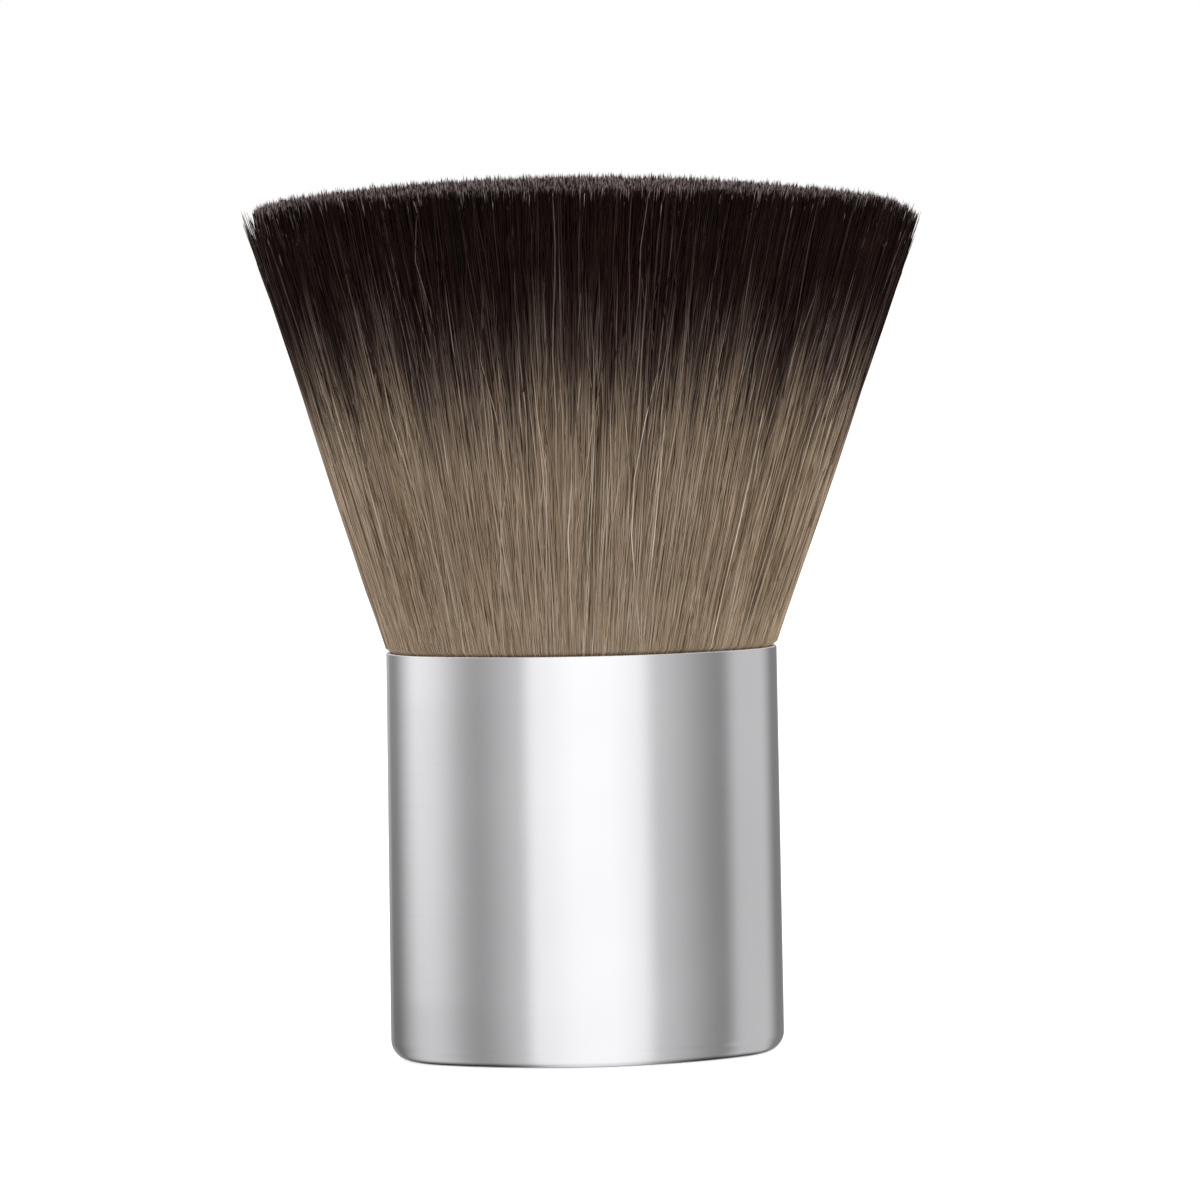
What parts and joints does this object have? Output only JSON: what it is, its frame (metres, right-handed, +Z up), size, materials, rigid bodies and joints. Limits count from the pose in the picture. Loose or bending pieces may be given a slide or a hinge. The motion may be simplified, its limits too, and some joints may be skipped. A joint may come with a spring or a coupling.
{
  "type": "kabuki makeup brush",
  "caption": "Short oval kabuki brush: a dense flared tuft with a gently domed flat top in a satin aluminium handle that stands on its base.",
  "frame": {"origin": "middle of the flat base of the handle", "axes": "+Z up along the handle towards the tips, +X to the right across the oval's width, -Y out of the front face"},
  "size_m": [0.0541, 0.0347, 0.0704],
  "materials": {
    "satin_aluminium": "soft satin polish, fine upright grain",
    "plain_aluminium": "mill finish",
    "weight_steel": "zinc plated, dull",
    "black_plastic": "moulded, matte",
    "clear_adhesive": "cured adhesive",
    "amber_resin": "cured resin, glossy",
    "white_thread": "waxed thread",
    "duotone_filament": "soft synthetic filament, beige at the root and near-black brown at the tips"
  },
  "bodies": {
    "root": {"handle_shell": "satin_aluminium", "weight_adhesive": "clear_adhesive", "base_weight": "weight_steel", "handle_insert": "black_plastic", "insert_glue_bead": "clear_adhesive", "tuft_cup": "plain_aluminium", "cup_adhesive": "clear_adhesive", "root_resin": "amber_resin", "root_binding": "white_thread", "bristle_tuft": "duotone_filament"}
  },
  "joints": []
}
